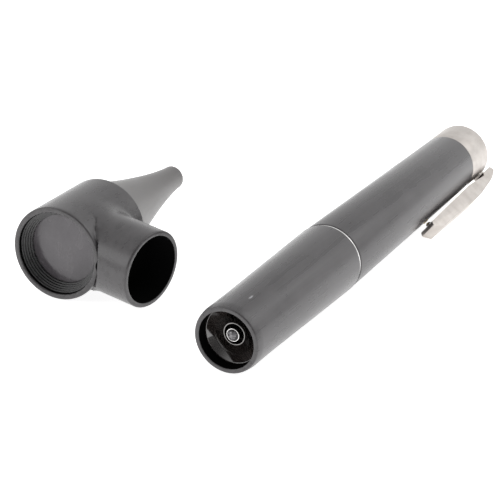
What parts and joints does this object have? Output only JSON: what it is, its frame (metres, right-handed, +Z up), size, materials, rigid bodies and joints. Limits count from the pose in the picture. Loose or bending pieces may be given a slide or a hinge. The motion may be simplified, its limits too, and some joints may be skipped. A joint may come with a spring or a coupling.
{
  "type": "otoscope",
  "caption": "Pocket otoscope taken apart: a viewing head with lens, side socket and flared speculum beside a pen-shaped battery handle with lamp and switch clip.",
  "frame": {"origin": "centre of the bounding box in plan, on the surface that both pieces lie on", "axes": "+Y along the handle from its lamp end to its tail, +X from the head towards the handle, +Z up"},
  "size_m": [0.0838, 0.1438, 0.0249],
  "materials": {
    "front_black": "gloss",
    "reflector_black": "polished",
    "bright_metal": "polished",
    "lamp_glass": "clear",
    "insulator": "matt",
    "contact_brass": "satin",
    "spring_steel": "satin",
    "rear_black": "gloss",
    "cell_jacket": "satin",
    "satin_nickel": "satin",
    "head_black": "gloss",
    "lens_glass": "clear",
    "gasket": "matt",
    "inner_black": "matt",
    "mirror": "polished",
    "speculum_black": "satin"
  },
  "bodies": {
    "rear_section": {"rear_barrel": "rear_black", "contact_stud": "contact_brass", "battery_front": "cell_jacket", "battery_rear": "cell_jacket", "cap_insulator": "insulator", "tail_cap": "satin_nickel", "tail_contact": "spring_steel", "tail_spring": "spring_steel", "clip_pin": "satin_nickel"},
    "sleeve": {"joint_sleeve": "bright_metal"},
    "front_section": {"front_barrel": "front_black", "reflector": "reflector_black", "bulb_collar": "bright_metal", "bulb_glass": "lamp_glass", "bulb_shell": "bright_metal", "bulb_insulator": "insulator", "bulb_contact": "contact_brass", "contact_carrier": "insulator", "front_contact": "contact_brass", "front_spring": "spring_steel"},
    "clip": {"pocket_clip": "satin_nickel", "clip_ball": "bright_metal"},
    "head": {"head_shell": "head_black", "lens": "lens_glass", "lens_ring": "head_black", "lens_gasket": "gasket", "mirror_carrier": "inner_black", "deflector_mirror": "mirror", "speculum_seat": "inner_black"},
    "speculum": {"speculum": "speculum_black"}
  },
  "joints": [
    {"name": "front_travel", "type": "slide", "parent": "rear_section", "child": "sleeve", "axis": [0, -0.9999, -0.0147], "range_m": [0, 0.004]},
    {"name": "front_unscrew", "type": "hinge", "parent": "sleeve", "child": "front_section", "pos_m": [0.02991, -0.07179, 0.00872], "axis": [0, -0.9999, -0.0147], "range_deg": [0, 1440]},
    {"name": "clip_flex", "type": "hinge", "parent": "rear_section", "child": "clip", "pos_m": [0.03579, 0.06732, 0.00617], "axis": [0.6157, -0.0116, 0.7879], "range_deg": [-0.45, 5], "stiffness_Nm_per_rad": 2.7},
    {"name": "head_lift", "type": "slide", "parent": "rear_section", "child": "head", "axis": [0, 0, 1], "range_m": [0, 0.1]},
    {"name": "speculum_pull", "type": "slide", "parent": "head", "child": "speculum", "axis": [-0.0354, 0.9994, 0], "range_m": [0, 0.012]}
  ],
  "couplings": [
    {"joint": "front_travel", "follows": "front_unscrew", "m_per_rad": 0.00015915}
  ]
}
